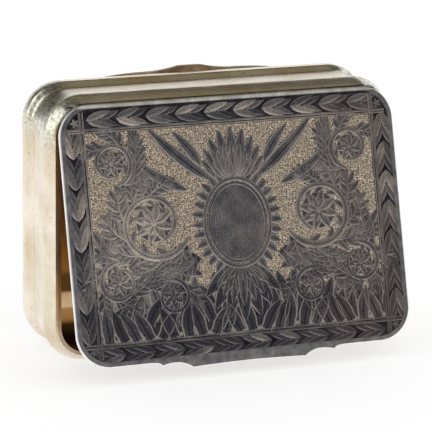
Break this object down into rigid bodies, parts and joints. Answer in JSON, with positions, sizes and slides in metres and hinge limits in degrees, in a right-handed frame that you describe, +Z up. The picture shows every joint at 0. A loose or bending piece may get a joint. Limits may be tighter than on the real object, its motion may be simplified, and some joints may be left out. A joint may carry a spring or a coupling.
{
  "type": "tobacco box",
  "caption": "Flat rounded-rectangle tobacco box with two back-to-back compartments, each closed by a flat hinged lid with a thumb lip.",
  "frame": {"origin": "middle of the base of the whole object at rest, standing on its long edge with the front lid ajar", "axes": "+X along the length, +Z up, the front lid towards -Y and the rear lid towards +Y"},
  "size_m": [0.087, 0.0444, 0.0655],
  "materials": {
    "silver_gilt": "polished, worn silver-gilt",
    "gilt": "gilded, tarnished",
    "niello_silver": "engraved silver filled with niello",
    "bare_silver": "bare silver, lightly tarnished"
  },
  "bodies": {
    "case": {"front_wall_band": "silver_gilt", "rear_wall_band": "silver_gilt", "partition_plate": "gilt", "front_bezel": "gilt", "rear_bezel": "gilt", "front_hinge_channel": "bare_silver", "rear_hinge_channel": "bare_silver", "front_hinge_pin": "bare_silver", "rear_hinge_pin": "bare_silver", "front_case_knuckle_1": "bare_silver", "front_case_knuckle_2": "bare_silver", "front_case_knuckle_3": "bare_silver", "rear_case_knuckle_1": "bare_silver", "rear_case_knuckle_2": "bare_silver", "rear_case_knuckle_3": "bare_silver"},
    "front_lid": {"front_lid_plate": "niello_silver", "front_thumb_lip": "bare_silver", "front_lid_knuckle_1": "bare_silver", "front_lid_knuckle_2": "bare_silver"},
    "rear_lid": {"rear_lid_plate": "niello_silver", "rear_thumb_lip": "bare_silver", "rear_lid_knuckle_1": "bare_silver", "rear_lid_knuckle_2": "bare_silver"}
  },
  "joints": [
    {"name": "front_lid_hinge", "type": "hinge", "parent": "case", "child": "front_lid", "pos_m": [0, -0.00318, 0.06215], "axis": [-1, 0, 0], "range_deg": [-16.4, 78.6]},
    {"name": "rear_lid_hinge", "type": "hinge", "parent": "case", "child": "rear_lid", "pos_m": [0, 0.02072, 0.00255], "axis": [-1, 0, 0], "range_deg": [0, 95]}
  ]
}
